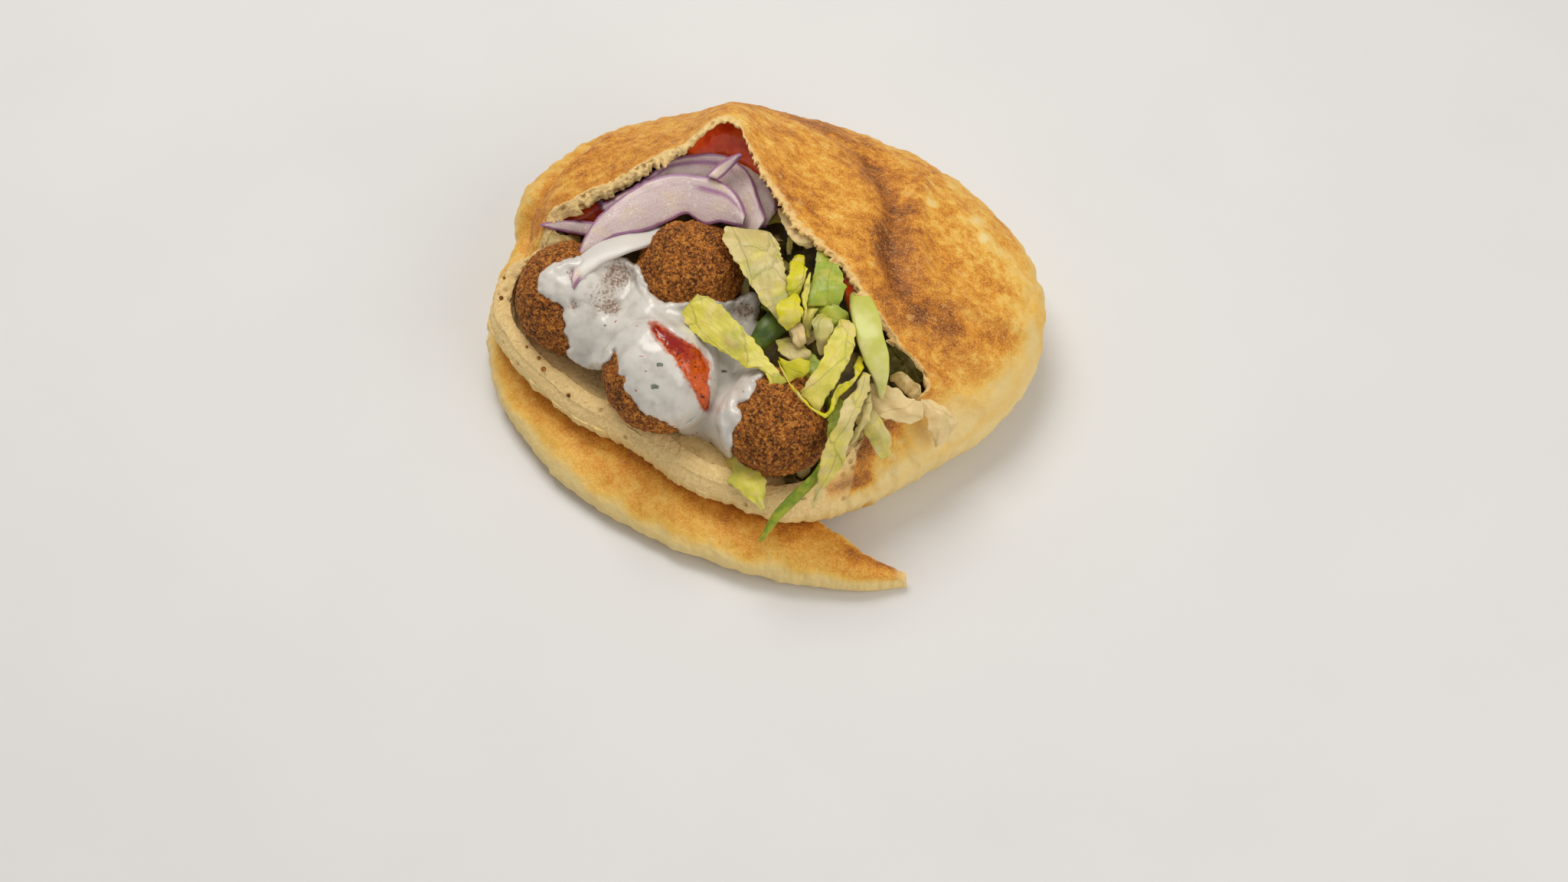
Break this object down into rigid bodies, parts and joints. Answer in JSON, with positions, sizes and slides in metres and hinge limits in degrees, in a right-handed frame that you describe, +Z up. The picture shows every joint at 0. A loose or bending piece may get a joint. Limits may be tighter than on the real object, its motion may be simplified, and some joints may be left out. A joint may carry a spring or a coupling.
{
  "type": "falafel pita",
  "caption": "Pita pocket cut open at one edge, filled with falafel balls, shredded salad, sliced vegetables and sauce, with the cut-off strip of bread tucked under its lip.",
  "frame": {"origin": "on the plane the bread rests on, under the middle of the whole with the cut crescent", "axes": "+Z up, the open mouth faces -Y and up, +X to the right as seen from in front of the mouth"},
  "size_m": [0.1774, 0.1676, 0.0749],
  "materials": {
    "bread": "matt baked crust, golden with darker mottling, pale crumb where torn",
    "falafel": "rough dark brown fried crust with orange-brown crags",
    "sauce": "thick glossy off-white yoghurt",
    "chilli": "wet red-orange chilli sauce",
    "onion": "moist lilac flesh with purple edges",
    "tomato": "wet red flesh",
    "cucumber": "moist pale green flesh",
    "cucumber_skin": "waxy dark green skin",
    "lettuce": "crisp pale yellow-green leaf with satin sheen",
    "herb": "satin fresh green leaf"
  },
  "bodies": {
    "root": {"pita_bread": "bread", "falafel_left": "falafel", "falafel_back": "falafel", "falafel_front": "falafel", "falafel_right": "falafel", "tomato_top": "tomato", "tomato_left": "tomato", "tomato_right": "tomato", "onion_front": "onion", "onion_middle": "onion", "onion_point": "onion", "onion_left": "onion", "onion_upright": "onion", "onion_back": "onion", "onion_sauced": "onion", "chilli_sauce": "chilli", "yoghurt_sauce": "sauce", "cucumber_pale": "cucumber", "cucumber_dark": "cucumber_skin", "spring_onion": "herb", "salad": "lettuce"}
  },
  "joints": []
}
